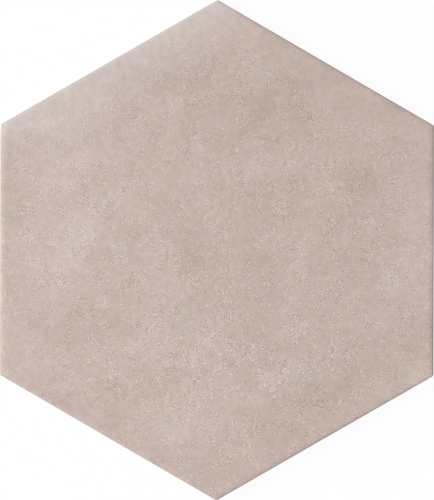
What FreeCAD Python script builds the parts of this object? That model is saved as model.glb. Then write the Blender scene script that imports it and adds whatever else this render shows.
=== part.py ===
import FreeCAD, Part

import math
import os

# A hexagonal floor tile, dry pressed from clay powder and fired in one piece.
# It lies on its back, centred on the origin, with its walking face up. Two of its sides face
# +X and -X, and two of its corners lie on +Y and -Y. All sizes are in millimetres.

# From side to opposite side. Left sharp, the corners would be this over cos 30 degrees apart.
side_to_side = 216.5
thickness = 9.0

# The walking face falls a little along each side, in a long shallow arc, before it turns down.
cushion_width = 2.3
cushion_drop = 0.205

# Past the cushion the fall steepens, over a narrow shoulder that ends at this slope.
shoulder_width = 0.8
shoulder_slope_degrees = 38.0

# The rounded edge between the shoulder and the side.
arris_radius = 0.3

# The side is upright in a lip below the arris, then leans in to a chamfer at the back.
lip_height = 2.2
side_lean_degrees = 1.2
back_chamfer = 0.5

# The side turns round the six corners. This is the radius at the back's edge, and it grows up
# the side by as much as the side stands out. The face's edge meets itself there in a mitre.
corner_radius = 0.6

# The back is keyed for the adhesive: a honeycomb of shallow pockets inside a plain rim. Rings of
# them lie about the one in the middle, and the last ring's outer corners touch the rim.
rim_width = 9.5
key_rings = 7
key_rib_width = 2.6
key_depth = 0.7
key_wall_lean = 0.45

SIDES = 6
TURN = 360.0 / SIDES
HALF_TURN_COSINE = math.cos(math.radians(TURN / 2.0))
MIDDLE = FreeCAD.Vector(0.0, 0.0, 0.0)
ACROSS = FreeCAD.Vector(1.0, 0.0, 0.0)
ALONG = FreeCAD.Vector(0.0, 1.0, 0.0)
UP = FreeCAD.Vector(0.0, 0.0, 1.0)

half_width = side_to_side / 2.0

# The cushion's arc leaves the face level, so its width and drop give its radius. The shoulder and
# then the arris take over from it with no crease, and the arris ends upright.
cushion_radius = (cushion_width**2 + cushion_drop**2) / (2.0 * cushion_drop)
cushion_slope = math.asin(cushion_width / cushion_radius)
shoulder_slope = math.radians(shoulder_slope_degrees)
shoulder_radius = shoulder_width / (math.sin(shoulder_slope) - math.sin(cushion_slope))
shoulder_drop = shoulder_radius * (math.cos(cushion_slope) - math.cos(shoulder_slope))
arris_height = thickness - cushion_drop - shoulder_drop - arris_radius * math.cos(shoulder_slope)
arris_inset = arris_radius * (1.0 - math.sin(shoulder_slope))
lip_bottom = arris_height - lip_height
side_inset = (lip_bottom - back_chamfer) * math.tan(math.radians(side_lean_degrees))
back_half_width = half_width - side_inset - back_chamfer

# From the middle to the rim there are key_rings steps between the columns of pockets, and then
# half a pocket from corner to corner. A pocket is a pitch wide less a rib, so this is the pitch.
key_pitch = back_half_width - rim_width + key_rib_width / 2.0 / HALF_TURN_COSINE
key_pitch /= key_rings * HALF_TURN_COSINE + 0.5 / HALF_TURN_COSINE


def at(x, z):
    """A point of the section that cuts the tile through the middles of two opposite sides."""
    return FreeCAD.Vector(x, 0.0, z)


def polar(radius, degrees, z=0.0):
    """A point by its distance from the middle and its direction, counted from +X towards +Y."""
    angle = math.radians(degrees)
    return FreeCAD.Vector(radius * math.cos(angle), radius * math.sin(angle), z)


def sloped(radius, slope):
    """The way from the centre of such an arc to its point of this slope."""
    return at(radius * math.sin(slope), radius * math.cos(slope))


def section_arc(centre, radius, first_slope, last_slope):
    """An arc of the section. A slope is how far it has turned down from level, towards +X."""
    slopes = (first_slope, (first_slope + last_slope) / 2.0, last_slope)
    return Part.Arc(*[centre + sloped(radius, slope) for slope in slopes]).toShape()


def side_points():
    """The side in section, from the bottom of its lip to the back."""
    return [
        at(half_width, lip_bottom),
        at(half_width - side_inset, back_chamfer),
        at(back_half_width, 0.0),
    ]


def section():
    """The tile cut through the middles of two opposite sides, as a face."""
    face_end = at(half_width - arris_inset - shoulder_width - cushion_width, thickness)
    cushion_centre = face_end - at(0.0, cushion_radius)
    shoulder_centre = cushion_centre + sloped(cushion_radius - shoulder_radius, cushion_slope)
    arris_centre = at(half_width - arris_radius, arris_height)
    side = [at(half_width, arris_height)] + side_points()
    edges = [
        section_arc(cushion_centre, cushion_radius, 0.0, cushion_slope),
        section_arc(shoulder_centre, shoulder_radius, cushion_slope, shoulder_slope),
        section_arc(arris_centre, arris_radius, shoulder_slope, math.pi / 2.0),
    ]
    edges += [Part.makeLine(start, end) for start, end in zip(side, side[1:])]
    edges += [edge.mirror(MIDDLE, ACROSS) for edge in edges]
    for corner in (face_end, side[-1]):
        edges.append(Part.makeLine(corner, at(-corner.x, corner.z)))
    return Part.Face(Part.Wire(Part.__sortEdges__(edges)))


def bar(degrees):
    """The section drawn out well past the tile. Three of them, crossed, leave the hexagon."""
    length = 2.0 * side_to_side
    drawn = section().extrude(ALONG * length)
    drawn.translate(ALONG * (-length / 2.0))
    drawn.rotate(MIDDLE, UP, degrees)
    return drawn


def corner_cutters():
    """What the crossed bars have too much of outside each rounded corner.

    The space beside the side is turned about the corner's own upright axis, which stands one
    corner radius in from the back's edge on both sides.
    """
    axis_distance = back_half_width - corner_radius
    outside = half_width + corner_radius
    below = -corner_radius
    above = thickness + corner_radius
    around = [
        at(back_half_width, below),
        at(outside, below),
        at(outside, above),
        at(half_width, above),
    ]
    loop = around + side_points() + around[:1]
    beside = Part.Face(Part.makePolygon([point - at(axis_distance, 0.0) for point in loop]))
    cutter = beside.revolve(MIDDLE, UP, TURN)
    cutters = []
    for corner in range(SIDES):
        placed = cutter.copy()
        placed.rotate(MIDDLE, UP, corner * TURN)
        placed.translate(polar(axis_distance / HALF_TURN_COSINE, (corner + 0.5) * TURN))
        cutters.append(placed)
    return Part.makeCompound(cutters)


def cell_corners(across, z):
    """The corners of a honeycomb cell, and the first again. Its sides face its six neighbours."""
    radius = across / 2.0 / HALF_TURN_COSINE
    return [polar(radius, corner * TURN, z) for corner in range(SIDES + 1)]


def key_pocket(mouth_width):
    """One pocket at the middle: its mouth in the back, its floor, and six leaning walls."""
    mouth = cell_corners(mouth_width, 0.0)
    floor = cell_corners(mouth_width - 2.0 * key_wall_lean, key_depth)
    outlines = [mouth, floor]
    for low, next_low, next_high, high in zip(mouth, mouth[1:], floor[1:], floor):
        outlines.append([low, next_low, next_high, high, low])
    walls = [Part.Face(Part.makePolygon(outline)) for outline in outlines]
    return Part.Solid(Part.Shell(walls))


def key_pockets():
    """The honeycomb, one slanting column of pockets after the other."""
    pocket = key_pocket(key_pitch - key_rib_width)
    column_step = key_pitch * HALF_TURN_COSINE
    pockets = []
    for column in range(-key_rings, key_rings + 1):
        for row in range(-key_rings, key_rings + 1):
            if abs(column + row) <= key_rings:
                place = FreeCAD.Vector(column * column_step, (row + column / 2.0) * key_pitch, 0.0)
                pockets.append(pocket.translated(place))
    return Part.makeCompound(pockets)


tile = bar(0.0).common(bar(TURN)).common(bar(2.0 * TURN))
tile = tile.cut(corner_cutters())
tile = tile.cut(key_pockets())

os.makedirs("parts", exist_ok=True)
tile.Solids[0].exportStep("parts/hexagon_tile.step")

box = tile.optimalBoundingBox(True, False)
print(f"tile {box.XLength:.2f} x {box.YLength:.2f} x {box.ZLength:.2f} mm, from z {box.ZMin:.3f}")
print(f"{len(tile.Solids)} solid of {tile.Volume / 1000.0:.2f} cm3 and {len(tile.Faces)} faces")
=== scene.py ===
import math

import bmesh
import bpy
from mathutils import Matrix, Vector


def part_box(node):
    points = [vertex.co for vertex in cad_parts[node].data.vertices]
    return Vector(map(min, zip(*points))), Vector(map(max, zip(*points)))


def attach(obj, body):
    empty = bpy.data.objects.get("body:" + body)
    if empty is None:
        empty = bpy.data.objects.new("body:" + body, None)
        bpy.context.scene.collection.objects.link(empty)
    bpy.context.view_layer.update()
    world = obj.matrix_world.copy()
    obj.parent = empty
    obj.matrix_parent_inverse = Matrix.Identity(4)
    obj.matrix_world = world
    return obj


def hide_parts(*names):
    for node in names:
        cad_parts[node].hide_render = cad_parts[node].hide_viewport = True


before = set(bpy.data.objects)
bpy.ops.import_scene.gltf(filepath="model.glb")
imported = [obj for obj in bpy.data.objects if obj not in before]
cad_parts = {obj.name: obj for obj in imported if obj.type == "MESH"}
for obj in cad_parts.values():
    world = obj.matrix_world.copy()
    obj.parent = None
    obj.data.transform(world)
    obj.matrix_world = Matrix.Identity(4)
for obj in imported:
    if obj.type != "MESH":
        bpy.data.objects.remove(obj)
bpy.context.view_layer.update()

# The hexagon tile. One piece of porcelain stoneware, pressed dry from clay powder in a steel
# die. A matt glaze with a printed cement look is fired onto its face, its edge and the top of
# its sides, and the rest is bare body. It lies loose on its keyed back, fixed to nothing.
low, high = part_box("hexagon_tile")
half_width = (high.x - low.x) / 2
thickness = high.z

# Its edge in section, in metres: a shallow cushion and a steeper shoulder along the rim of the
# face, a small round arris, an upright lip, a side that leans in, and a chamfer at the back.
cushion_width = 0.0023
cushion_drop = 0.000205
shoulder_width = 0.0008
shoulder_slope = math.radians(38)
arris_radius = 0.0003
lip_height = 0.0022
side_lean = math.radians(1.2)
back_chamfer = 0.0005

# How many rows of faces the curved parts and the leaning side get.
cushion_rows = 6
shoulder_rows = 3
arris_rows = 3
side_rows = 4

SIDES = 6
TURN = math.tau / SIDES
HALF_TURN_COSINE = math.cos(TURN / 2)

cushion_radius = (cushion_width**2 + cushion_drop**2) / (2 * cushion_drop)
cushion_slope = math.asin(cushion_width / cushion_radius)
shoulder_radius = shoulder_width / (math.sin(shoulder_slope) - math.sin(cushion_slope))
shoulder_drop = shoulder_radius * (math.cos(cushion_slope) - math.cos(shoulder_slope))
shoulder_half_width = half_width - arris_radius * (1 - math.sin(shoulder_slope))
flat_half_width = shoulder_half_width - shoulder_width - cushion_width
arris_top = thickness - cushion_drop - shoulder_drop
lip_top = arris_top - arris_radius * math.cos(shoulder_slope)
lip_bottom = lip_top - lip_height
side_inset = (lip_bottom - back_chamfer) * math.tan(side_lean)
back_half_width = half_width - side_inset - back_chamfer

# The glaze ends halfway down the lip, so a row of vertices lies there.
glaze_line = lip_top - lip_height / 2


def edge_rows():
    """The edge in section, from the rim of the flat face down to the back: width and height."""
    rows = [(flat_half_width, thickness)]
    for count, radius, first_slope, last_slope in (
        (cushion_rows, cushion_radius, 0, cushion_slope),
        (shoulder_rows, shoulder_radius, cushion_slope, shoulder_slope),
        (arris_rows, arris_radius, shoulder_slope, math.pi / 2),
    ):
        start_width, start_height = rows[-1]
        for step in range(1, count + 1):
            slope = first_slope + (last_slope - first_slope) * step / count
            out = radius * (math.sin(slope) - math.sin(first_slope))
            drop = radius * (math.cos(first_slope) - math.cos(slope))
            rows.append((start_width + out, start_height - drop))
    rows += [(half_width, glaze_line), (half_width, lip_bottom)]
    for step in range(1, side_rows + 1):
        down = step / side_rows
        rows.append((half_width - side_inset * down, lip_bottom + (back_chamfer - lip_bottom) * down))
    return rows + [(back_half_width, 0.0)]


def select(piece, mode, wanted):
    """In edit mode, selects just those of the piece's VERTs, EDGEs or FACEs that are wanted."""
    bpy.ops.mesh.select_mode(type=mode)
    bpy.ops.mesh.select_all(action="DESELECT")
    shape = bmesh.from_edit_mesh(piece.data)
    elements = {"VERT": shape.verts, "EDGE": shape.edges, "FACE": shape.faces}[mode]
    for element in elements:
        if wanted(element):
            element.select_set(True)
    shape.select_flush_mode()
    bmesh.update_edit_mesh(piece.data)


# The flat of the face starts as six wedges. It has to be a net fine enough to hold its relief,
# so their edges are cut into this many steps, and then each step into as many again.
face_steps = 12
bpy.ops.object.select_all(action="DESELECT")
bpy.ops.mesh.primitive_circle_add(
    vertices=SIDES,
    radius=flat_half_width / HALF_TURN_COSINE,
    fill_type="TRIFAN",
    location=(0, 0, thickness),
)
tile = bpy.context.object
tile.name = "glazed_hexagon_tile"
bpy.ops.object.transform_apply()
bpy.ops.object.mode_set(mode="EDIT")
bpy.ops.mesh.subdivide(number_cuts=face_steps - 1)
bpy.ops.mesh.subdivide(number_cuts=face_steps - 1)

# The rim of the face is drawn out and down, row by row, to the edge of the back.
bpy.ops.mesh.region_to_loop()
(width, height), *rows = edge_rows()
for next_width, next_height in rows:
    bpy.ops.mesh.extrude_edges_move(TRANSFORM_OT_translate={"value": (0, 0, next_height - height)})
    growth = next_width / width
    bpy.ops.transform.resize(value=(growth, growth, 1), center_override=(0, 0, 0))
    width, height = next_width, next_height

# The six corners are rounded from the arris down, with the radius that the frame has at the lip.
corner_radius = 0.0012
corner_steps = 6
corner_length = corner_radius * math.tan(TURN / 2)
height_slack = arris_radius / 10
bearing_slack = 1e-4


def at_corner(vertex):
    """True of a vertex of the arris or below, on an upright plane through two opposite corners."""
    turns = math.atan2(vertex.co.x, vertex.co.y) / TURN
    return vertex.co.z < arris_top + height_slack and abs(turns - round(turns)) < bearing_slack


select(tile, "EDGE", lambda edge: all(at_corner(vertex) for vertex in edge.verts))
bpy.ops.mesh.bevel(offset=corner_length, offset_type="OFFSET", segments=corner_steps, affect="EDGES")
bpy.ops.object.mode_set(mode="OBJECT")

# The back is keyed for the adhesive with rings of shallow six-sided pockets, pressed in with
# the body. They start as a sheet of cells, each inset by half a rib and then sunk.
rim_width = 0.0095
key_rings = 7
key_rib_width = 0.0026
key_depth = 0.0007
key_wall_lean = 0.00045
key_pitch = back_half_width - rim_width + key_rib_width / 2 / HALF_TURN_COSINE
key_pitch /= key_rings * HALF_TURN_COSINE + 0.5 / HALF_TURN_COSINE
column_step = key_pitch * HALF_TURN_COSINE
weld_distance = key_rib_width / 100

# The first cell is the lowest one of the leftmost column. Each column to the right of it
# starts half a pitch higher, so the whole sheet is a slanted block about the tile's middle. The
# cells face down, so that to sink them is to push them up into the tile.
bpy.ops.object.select_all(action="DESELECT")
bpy.ops.mesh.primitive_circle_add(
    vertices=SIDES,
    radius=key_pitch / 2 / HALF_TURN_COSINE,
    fill_type="NGON",
    rotation=(math.pi, 0, TURN / 2),
    location=(-key_rings * column_step, -1.5 * key_rings * key_pitch, 0),
)
key = bpy.context.object
bpy.ops.object.transform_apply()
for step in ((0, key_pitch, 0), (column_step, key_pitch / 2, 0)):
    bpy.ops.object.modifier_add(type="ARRAY")
    array = key.modifiers[-1]
    array.count = 2 * key_rings + 1
    array.use_relative_offset = False
    array.use_constant_offset = True
    array.constant_offset_displace = step
    array.use_merge_vertices = True
    array.merge_threshold = weld_distance
    bpy.ops.object.modifier_apply(modifier=array.name)
bpy.ops.object.mode_set(mode="EDIT")
bpy.ops.mesh.remove_doubles(threshold=weld_distance)


def beyond_rings(face):
    """True of a cell that lies outside the last ring about the middle one."""
    middle = face.calc_center_median()
    return abs(middle.y + middle.x * math.tan(TURN / 2)) > (key_rings + 0.5) * key_pitch


select(key, "FACE", beyond_rings)
bpy.ops.mesh.delete(type="FACE")
bpy.ops.mesh.select_all(action="SELECT")
bpy.ops.mesh.inset(thickness=key_rib_width / 2, use_individual=True)
bpy.ops.mesh.inset(thickness=key_wall_lean, depth=-key_depth, use_individual=True)
bpy.ops.object.mode_set(mode="OBJECT")

# Joined, the sheet and the tile leave only the plain rim open, which is filled.
tile.select_set(True)
bpy.context.view_layer.objects.active = tile
bpy.ops.object.join()
bpy.ops.object.mode_set(mode="EDIT")
select(tile, "EDGE", lambda edge: edge.is_boundary)
bpy.ops.mesh.fill()
bpy.ops.mesh.select_all(action="SELECT")
bpy.ops.mesh.normals_make_consistent(inside=False)
bpy.ops.object.mode_set(mode="OBJECT")

# The pressing and the glaze leave the face in long shallow waves with a soft grain on them.
# The relief only goes inwards. It fades over the arris, is faint on the sides and leaves the
# back alone. Each layer has its width in metres, its octaves of detail and its depth in metres.
relief_layers = (
    ("pressing_waves", 0.038, 2, 0.00014),
    ("glaze_ripple", 0.0085, 2, 0.00007),
    ("glaze_grain", 0.0026, 1, 0.00004),
)
side_share = 0.25
crease_angle = math.radians(30)


def relief_share(spot):
    """How much of the relief a point of the tile has, from 0 to 1."""
    on_back = spot.z < back_chamfer / 2
    in_pocket = spot.z < 1.5 * key_depth and math.hypot(spot.x, spot.y) < back_half_width
    if on_back or in_pocket:
        return 0.0
    over_arris = (spot.z - lip_top) / (arris_top - lip_top)
    return side_share + (1 - side_share) * min(max(over_arris, 0.0), 1.0)


def make_uneven(group, name, wave_width, detail, reach, **settings):
    """Moves the vertices of a group of the tile by smooth noise of this width and reach."""
    texture = bpy.data.textures.new(name, "CLOUDS")
    texture.noise_scale = wave_width
    texture.noise_depth = detail
    bpy.ops.object.modifier_add(type="DISPLACE")
    displace = tile.modifiers[-1]
    displace.texture = texture
    displace.texture_coords = "LOCAL"
    displace.vertex_group = group
    displace.strength = reach
    for setting, value in settings.items():
        setattr(displace, setting, value)
    bpy.ops.object.modifier_apply(modifier=displace.name)


relief = tile.vertex_groups.new(name="relief")
for vertex in tile.data.vertices:
    share = relief_share(vertex.co)
    if share:
        relief.add([vertex.index], share, "REPLACE")
for name, wave_width, detail, depth in relief_layers:
    make_uneven("relief", name, wave_width, detail, depth, mid_level=1.0)
bpy.ops.object.shade_smooth_by_angle(angle=crease_angle)


def paint(hex_colour):
    """The sRGB hex value of a colour as the linear red, green, blue and alpha of a shader."""
    linear = []
    for start in (1, 3, 5):
        part = int(hex_colour[start:start + 2], 16) / 255
        linear.append(part / 12.92 if part <= 0.04045 else ((part + 0.055) / 1.055) ** 2.4)
    return linear + [1]


def empty_material(name):
    """A new material with no nodes in it."""
    material = bpy.data.materials.new(name)
    material.use_nodes = True
    material.node_tree.nodes.clear()
    return material


def add(material, kind, inputs, **settings):
    """Adds a node to a material or world, with its settings and with its inputs by name or number.

    An input gets a value, or the output that feeds it. A node there stands for its first output.
    """
    tree = material.node_tree
    node = tree.nodes.new("ShaderNode" + kind)
    for name, value in settings.items():
        setattr(node, name, value)
    for name, value in inputs.items():
        if isinstance(value, bpy.types.Node):
            value = value.outputs[0]
        if isinstance(value, bpy.types.NodeSocket):
            tree.links.new(value, node.inputs[name])
        else:
            node.inputs[name].default_value = value
    return node


# Matt glaze over porcelain stoneware, printed before the fire to look like worn cement. It
# gives the eye a blush beige in soft clouds, paler or darker by a few hundredths, with a fine
# sandy grain and no reflections sharp enough to see.
glaze = empty_material("matt_cement_print_glaze")
place = add(glaze, "TexCoord", {}).outputs["Object"]

# The print's patches aren't clean ellipses. The places where they are looked up are shifted by
# waves of this width, at most by half of this length.
drift_width = 0.030
drift_length = 0.030
drift = add(glaze, "TexNoise", {"Vector": place, "Scale": 1 / drift_width, "Detail": 2.0})
drift = add(glaze, "VectorMath", {0: drift.outputs["Color"], 1: (0.5, 0.5, 0.5)}, operation="SUBTRACT")
drift_reach = (drift_length, drift_length, 0)
drifted = add(glaze, "VectorMath", {0: drift, 1: drift_reach, 2: place}, operation="MULTIPLY_ADD")


def soft_patches(patches):
    """The sum of soft patches of the print, each strongest in its middle and gone at its rim.

    A patch is its middle in x and y, its half length and half breadth in millimetres, the turn
    of its length from +X in degrees, and its strength.
    """
    total = 0.0
    for x, y, half_length, half_breadth, turn, strength in patches:
        spot = add(
            glaze,
            "Mapping",
            {
                "Vector": drifted,
                "Location": (x / 1000, y / 1000, 0),
                "Rotation": (0, 0, math.radians(turn)),
                "Scale": (half_length / 1000, half_breadth / 1000, 1),
            },
            vector_type="TEXTURE",
        )
        spot = add(glaze, "TexGradient", {"Vector": spot}, gradient_type="SPHERICAL").outputs["Fac"]
        spot = add(glaze, "MapRange", {"Value": spot}, interpolation_type="SMOOTHSTEP")
        total = add(glaze, "Math", {0: spot, 1: strength, 2: total}, operation="MULTIPLY_ADD")
    return total


# The patches are chosen one by one. These are paler, or darker where the strength is negative.
tone = soft_patches((
    (-78, 25, 62, 34, 80, 0.16),
    (-84, -8, 44, 30, 90, 0.16),
    (-100, -55, 34, 26, 90, 0.14),
    (-22, -86, 46, 26, 30, 0.22),
    (-34, -20, 40, 24, 60, 0.16),
    (33, -58, 24, 14, 20, 0.12),
    (104, 0, 56, 16, 90, 0.14),
    (24, 69, 44, 28, 0, -0.28),
    (-12, 88, 26, 18, 0, -0.24),
    (42, 88, 30, 16, 0, -0.15),
    (0, 116, 18, 14, 0, 0.16),
    (73, 31, 20, 18, 0, -0.18),
    (86, 14, 24, 14, 90, -0.12),
    (68, -62, 80, 20, 30, -0.17),
    (70, -18, 60, 26, 90, -0.11),
    (11, -43, 20, 13, 0, -0.13),
    (22, -18, 34, 26, 60, -0.16),
    (-16, -7, 23, 16, 90, -0.20),
    (24, 28, 34, 16, 20, -0.14),
    (-105, 40, 36, 14, 90, -0.17),
    (-59, 2, 34, 12, -50, 0.12),
    (-70, 70, 30, 18, 30, 0.16),
    (-66, 8, 34, 18, 70, 0.12),
    (-68, -56, 40, 18, 0, 0.12),
    (-18, -50, 34, 25, 0, 0.18),
    (102, -58, 18, 16, 0, 0.20),
))

# Over them lie clouds, mottling and marks, by their width in metres, detail and contrast.
for mottle_width, detail, contrast in (
    (0.055, 2, 0.30),
    (0.013, 3, 0.46),
    (0.0032, 2, 0.57),
):
    mottle = add(glaze, "TexNoise", {"Vector": place, "Scale": 1 / mottle_width, "Detail": detail})
    mottle = add(glaze, "Math", {0: mottle, 1: 0.5}, operation="SUBTRACT")
    tone = add(glaze, "Math", {0: mottle, 1: contrast, 2: tone}, operation="MULTIPLY_ADD")


def towards(bearing):
    """How far out from the middle of the tile a place lies, in the direction of a bearing from +X."""
    direction = (math.cos(bearing), math.sin(bearing), 0)
    return add(glaze, "VectorMath", {0: place, 1: direction}, operation="DOT_PRODUCT").outputs["Value"]


def beside(side, start, end, first=0.0, last=1.0):
    """A value that turns smoothly from first to last between two distances in from a side."""
    return add(
        glaze,
        "MapRange",
        {
            "Value": side,
            "From Min": half_width - start,
            "From Max": half_width - end,
            "To Min": first,
            "To Max": last,
        },
        interpolation_type="SMOOTHSTEP",
    )


# Painted sheen: one side is paler and cooler along its edge, most of all right beside it, as a sheen
# of light painted into the glaze's colour.
sheen_bearing = math.radians(120)
sheen_reach = 0.036
strong_sheen_reach = 0.014
strong_sheen_within = 0.0025
sheen_side = towards(sheen_bearing)
painted_sheen = beside(sheen_side, sheen_reach, 0)
painted_strong_sheen = beside(sheen_side, strong_sheen_reach, strong_sheen_within)

# How far out a place lies towards whichever side is nearest to it.
nearest_side = 0.0
for pair in range(SIDES // 2):
    across = add(glaze, "Math", {0: towards(pair * TURN)}, operation="ABSOLUTE")
    nearest_side = add(glaze, "Math", {0: across, 1: nearest_side}, operation="MAXIMUM")

# Right along the rim the face is darker and has less sand. This band is full up to the first of these
# distances from the side and gone from the second inwards. Where the band is full, the face keeps only
# the first of these shares of its sand, and under the painted sheen it keeps only the second.
rim_band_within = 0.00045
rim_band_beyond = 0.00085
rim_band_sand = 0.35
sand_under_sheen = 0.55
rim_band = beside(nearest_side, rim_band_beyond, rim_band_within)
sandy = add(glaze, "Math", {0: rim_band, 1: rim_band_sand - 1, 2: 1.0}, operation="MULTIPLY_ADD")
kept = add(glaze, "Math", {0: painted_sheen, 1: sand_under_sheen - 1, 2: 1.0}, operation="MULTIPLY_ADD")
sandy = add(glaze, "Math", {0: sandy, 1: kept}, operation="MULTIPLY")

# The sand also lies thinner along the rim, more so along the next side, and most of all right beside
# the side with the painted sheen. Each row gives how far in the sand starts to thin out, how far from
# the side it has done so, and the share of it that is left there.
for side, fade_start, fade_end, share_left in (
    (nearest_side, 0.012, 0.006, 0.72),
    (towards(sheen_bearing - TURN), 0.024, 0.006, 0.60),
    (sheen_side, 0.008, 0.004, 0.25),
):
    kept = beside(side, fade_start, fade_end, 1.0, share_left)
    sandy = add(glaze, "Math", {0: sandy, 1: kept}, operation="MULTIPLY")

# There is more sand in a broad swathe below the middle, and less above it.
swathes = soft_patches((
    (-1, -56, 92, 44, 0, 0.30),
    (27, -25, 30, 25, 0, 0.12),
    (-33, 42, 75, 50, 0, -0.20),
    (59, 72, 28, 20, 0, -0.30),
    (25, 17, 20, 16, 0, -0.15),
    (-98, -52, 30, 26, 0, -0.35),
))
sandy = add(glaze, "Math", {0: sandy, 1: swathes, 2: sandy}, operation="MULTIPLY_ADD")

# The sand's grains of about 0.2 mm are too fine to show, so they are drawn three times as coarse.
# Most of them hardly stand out, and a few are plainly pale or dark, so each is multiplied by the
# root of its own strength.
sand_width = 0.0006
sand = add(glaze, "TexNoise", {"Vector": place, "Scale": 1 / sand_width, "Detail": 1.0})
grains = add(glaze, "Math", {0: sand, 1: 0.5}, operation="SUBTRACT")
root = add(glaze, "Math", {0: grains}, operation="ABSOLUTE")
root = add(glaze, "Math", {0: root}, operation="SQRT")
grains = add(glaze, "Math", {0: grains, 1: root}, operation="MULTIPLY")

# The grains lie in clusters of this width and of three finer kinds. Between the clusters the
# glaze is smooth, with only this share of their contrast. A cluster starts and is full where its
# noise has these values.
sand_contrast = 10.0
cluster_width = 0.009
between_clusters = 0.05
clusters_start = 0.435
clusters_full = 0.565
clusters = add(
    glaze,
    "TexNoise",
    {"Vector": place, "Scale": 1 / cluster_width, "Detail": 3.0, "Roughness": 1.0},
)
clusters = add(
    glaze,
    "MapRange",
    {
        "Value": clusters,
        "From Min": clusters_start,
        "From Max": clusters_full,
        "To Min": between_clusters * sand_contrast,
        "To Max": sand_contrast,
    },
    interpolation_type="SMOOTHSTEP",
)
clusters = add(glaze, "Math", {0: clusters, 1: sandy}, operation="MULTIPLY")
tone = add(glaze, "Math", {0: grains, 1: clusters, 2: tone}, operation="MULTIPLY_ADD")

# A tone of -1 is the darkest colour of the print, 0 is its middle one and 1 its palest.
darkest_print = "#A08B82"
middle_print = "#C4B2AA"
palest_print = "#E6D6D0"
tone = add(glaze, "MapRange", {"Value": tone, "From Min": -1.0})
printed = add(glaze, "ValToRGB", {"Fac": tone})
printed.color_ramp.elements[0].color = paint(darkest_print)
printed.color_ramp.elements[1].color = paint(palest_print)
printed.color_ramp.elements.new(0.5).color = paint(middle_print)

# The print is pinker in streaks that slant up to the right, and browner inside one side. A fine
# blush goes back and forth between pink and green all over it.
pinker = soft_patches((
    (-2, 84, 60, 14, 50, 1.6),
    (-33, 32, 28, 14, 60, 1.8),
    (12, -4, 44, 14, 35, 1.8),
    (46, 26, 24, 10, 35, 1.2),
    (-55, -38, 36, 13, 40, 1.8),
    (-40, -76, 28, 16, 30, 1.8),
    (40, -92, 56, 12, 30, 1.6),
))
browner = soft_patches((
    (70, -68, 76, 15, 30, 1.7),
    (-36, -70, 18, 14, 0, 1.3),
    (34, 22, 14, 10, 0, 1.2),
    (62, 34, 16, 12, 0, 1.6),
    (10, -3, 18, 8, 30, 1.0),
))
blush_width = 0.011
blush = add(glaze, "TexNoise", {"Vector": place, "Scale": 1 / blush_width, "Detail": 2.0})
blush = add(glaze, "Math", {0: blush, 1: 0.5}, operation="SUBTRACT")

# Each of these changes red, green and blue by so much, where its strength is 1. The face is darker
# along its rim, and the painted sheen makes one side paler and cooler.
tint = (1.0, 1.0, 1.0)
for strength, change in (
    (rim_band, (-0.100, -0.100, -0.100)),
    (painted_sheen, (0.074, 0.111, 0.127)),
    (painted_strong_sheen, (0.034, 0.084, 0.108)),
    (pinker, (0.010, -0.008, -0.002)),
    (browner, (0.001, -0.003, -0.030)),
    (blush, (0.050, -0.042, -0.012)),
):
    tint = add(glaze, "VectorMath", {0: strength, 1: change, 2: tint}, operation="MULTIPLY_ADD")
colour = add(glaze, "VectorMath", {0: printed, 1: tint}, operation="MULTIPLY")

# The sand stands out of the glaze by hundredths of a millimetre, and its tops are the roughest.
sand_height = 0.00002
roughness_between = 0.62
roughness_of_sand = 0.80
bump = add(glaze, "Bump", {"Strength": sandy, "Height": sand, "Distance": sand_height})
roughness = add(
    glaze,
    "MapRange",
    {"Value": sand, "To Min": roughness_between, "To Max": roughness_of_sand},
)
shader = add(
    glaze,
    "BsdfPrincipled",
    {"Base Color": colour, "Roughness": roughness, "Specular IOR Level": 0.3, "Normal": bump},
)
add(glaze, "OutputMaterial", {"Surface": shader})

# Bare porcelain stoneware: clay, feldspar and sand pressed at high pressure and fired without
# glaze. It gives the eye a pinkish beige, flat and dry, with fine dark and pale grains.
body = empty_material("bare_pressed_porcelain_stoneware")
body_place = add(body, "TexCoord", {}).outputs["Object"]
body_height = add(body, "SeparateXYZ", {0: body_place}).outputs["Z"]
grain_width = 0.0011
dark_grains = "#A5948A"
pale_grains = "#CDBDB3"
grain = add(body, "TexNoise", {"Vector": body_place, "Scale": 1 / grain_width, "Detail": 3.0})
grained = add(body, "ValToRGB", {"Fac": grain})
grained.color_ramp.elements[0].position = 0.25
grained.color_ramp.elements[0].color = paint(dark_grains)
grained.color_ramp.elements[1].position = 0.75
grained.color_ramp.elements[1].color = paint(pale_grains)

# The glaze was sprayed from above, so a mist of it reaches down the side in uneven tongues. In
# the Mix node, inputs 6 and 7 are the two colours, and output 2 is what they give.
mist_depth = 0.0022
tongue_width = 0.004
mist_start = 0.18
mist_full = 0.52
mist_colour = "#C3B2AA"
tongues = add(body, "TexNoise", {"Vector": body_place, "Scale": 1 / tongue_width, "Detail": 3.0})
mist = add(
    body,
    "MapRange",
    {"Value": body_height, "From Min": glaze_line - mist_depth, "From Max": glaze_line},
    interpolation_type="SMOOTHSTEP",
)
mist = add(body, "Math", {0: mist, 1: tongues}, operation="MULTIPLY")
mist = add(body, "MapRange", {"Value": mist, "From Min": mist_start, "From Max": mist_full})
misted = add(body, "Mix", {0: mist, 6: grained, 7: paint(mist_colour)}, data_type="RGBA").outputs[2]

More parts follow.
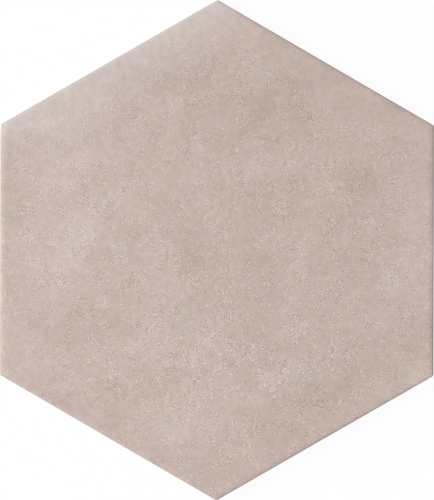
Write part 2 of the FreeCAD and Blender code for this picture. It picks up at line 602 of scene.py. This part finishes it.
# The rim and the ribs of the back carry a thin white kiln wash, which kept them from sticking to
# the rollers. It is worn in blotches, and the pockets were too deep to take any.
wash_strength = 0.55
wash_colour = "#E3DDD6"
blotch_width = 0.024
worn_below = 0.38
whole_above = 0.60
worn_share = 0.25
wash = add(
    body,
    "MapRange",
    {"Value": body_height, "From Min": key_depth / 2, "From Max": 0.0, "To Max": wash_strength},
)
blotches = add(body, "TexNoise", {"Vector": body_place, "Scale": 1 / blotch_width, "Detail": 3.0})
worn = add(
    body,
    "MapRange",
    {"Value": blotches, "From Min": worn_below, "From Max": whole_above, "To Min": worn_share},
)
wash = add(body, "Math", {0: wash, 1: worn}, operation="MULTIPLY")
washed = add(body, "Mix", {0: wash, 6: misted, 7: paint(wash_colour)}, data_type="RGBA").outputs[2]

# The die left faint upright marks on the sides as it let go of the tile. They are drawn at a
# width of 1.4 mm, several times as coarse as they are.
mark_width = 0.0014
mark_length = 0.03
mark_depth = 0.00006
grain_height = 0.00005
mark_scale = (1 / mark_width, 1 / mark_width, 1 / mark_length)
marks = add(body, "Mapping", {"Vector": body_place, "Scale": mark_scale})
marks = add(body, "TexNoise", {"Vector": marks, "Scale": 1.0, "Detail": 1.0})
bump = add(body, "Bump", {"Height": grain, "Distance": grain_height})
bump = add(body, "Bump", {"Height": marks, "Distance": mark_depth, "Normal": bump})
shader = add(
    body,
    "BsdfPrincipled",
    {"Base Color": washed, "Roughness": 0.85, "Specular IOR Level": 0.25, "Normal": bump},
)
add(body, "OutputMaterial", {"Surface": shader})

tile.data.materials.clear()
tile.data.materials.append(glaze)
tile.data.materials.append(body)
bpy.ops.object.mode_set(mode="EDIT")
select(tile, "FACE", lambda face: face.calc_center_median().z < glaze_line)
tile.active_material_index = 1
bpy.ops.object.material_slot_assign()
bpy.ops.object.mode_set(mode="OBJECT")

# The glaze ends in an uneven line. Its row of vertices slides up and down the upright lip.
line_wave = 0.005
line_detail = 2
line_sway = 0.0007
glaze_edge = tile.vertex_groups.new(name="glaze_edge")
for vertex in tile.data.vertices:
    if abs(vertex.co.z - glaze_line) < lip_height / 4:
        glaze_edge.add([vertex.index], 1.0, "REPLACE")
make_uneven("glaze_edge", "glaze_edge", line_wave, line_detail, line_sway, direction="Z")
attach(tile, "root")
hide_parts("hexagon_tile")

# The floor: a plain white sheet, which isn't part of the object. It is near white to the
# camera and keeps the tile's shadow.
floor_width = 4.0
glow_share = 0.95
bpy.ops.mesh.primitive_plane_add(size=floor_width)
floor = bpy.context.object
floor.name = "floor"


def seen(material):
    """1 for what the camera sees straight, mirrored or through glass, 0 for what lights the tile."""
    path = add(material, "LightPath", {})
    seen_by = path.outputs["Is Camera Ray"]
    for ray in ("Is Glossy Ray", "Is Transmission Ray"):
        seen_by = add(material, "Math", {0: seen_by, 1: path.outputs[ray]}, operation="MAXIMUM")
    return seen_by


sheet = empty_material("white_paper")
glowing = add(sheet, "Math", {0: seen(sheet), 1: glow_share}, operation="MULTIPLY")
matt = add(sheet, "BsdfDiffuse", {"Color": paint("#F6F6F6")})
glow = add(sheet, "Emission", {"Color": (1, 1, 1, 1), "Strength": 1.0})
mixed = add(sheet, "MixShader", {0: glowing, 1: matt, 2: glow})
add(sheet, "OutputMaterial", {"Surface": mixed})
floor.data.materials.append(sheet)

# The light: a soft lamp low on the left, and an even white room. Together they light the
# level face at 1, so that a colour renders about as it is written. The lamp's power allows for
# its distance and slant, and has a factor of pi for its own matt disc and one for the matt face.
lamp_share = 0.56
lamp_bearing = math.radians(178)
lamp_elevation = math.radians(33)
lamp_distance = 6.0
lamp_width = 2.4
bpy.ops.object.light_add(type="AREA")
lamp = bpy.context.object
lamp.data.shape = "DISK"
lamp.data.size = lamp_width
lamp.data.energy = lamp_share * math.pi**2 * lamp_distance**2 / math.sin(lamp_elevation)
lamp.location = lamp_distance * Vector((
    math.cos(lamp_bearing) * math.cos(lamp_elevation),
    math.sin(lamp_bearing) * math.cos(lamp_elevation),
    math.sin(lamp_elevation),
))
lamp.rotation_euler = lamp.location.to_track_quat("Z", "Y").to_euler()

room = bpy.data.worlds.new("white_room")
bpy.context.scene.world = room
room.use_nodes = True
room.node_tree.nodes.clear()
strength = add(room, "MapRange", {"Value": seen(room), "To Min": 1 - lamp_share, "To Max": 1.0})
walls = add(room, "Background", {"Color": (1, 1, 1, 1), "Strength": strength})
add(room, "OutputWorld", {"Surface": walls})
bpy.context.scene.view_settings.view_transform = "Standard"

# The camera looks straight down. In its picture of 434 by 500 pixels the tile measures 433.7
# from side to side, its middle is at (216.95, 250.2) and it is turned 0.15 degrees clockwise.
picture_width = 434
picture_height = 500
tile_pixels = 433.7
tile_middle = (216.95, 250.2)
tile_turn = math.radians(0.15)
pixel = 2 * half_width / tile_pixels

# Its long lens keeps the perspective small. The sensor's width spans the longer side of the
# picture, which is its height.
bpy.ops.object.camera_add()
camera = bpy.context.object
camera.data.lens = 200
camera.data.sensor_width = 36
camera_height = picture_height * pixel * camera.data.lens / camera.data.sensor_width
camera.location = (
    (picture_width / 2 - tile_middle[0]) * pixel,
    (tile_middle[1] - picture_height / 2) * pixel,
    lip_top + camera_height,
)
camera.rotation_euler = (0, 0, tile_turn)
bpy.context.scene.camera = camera
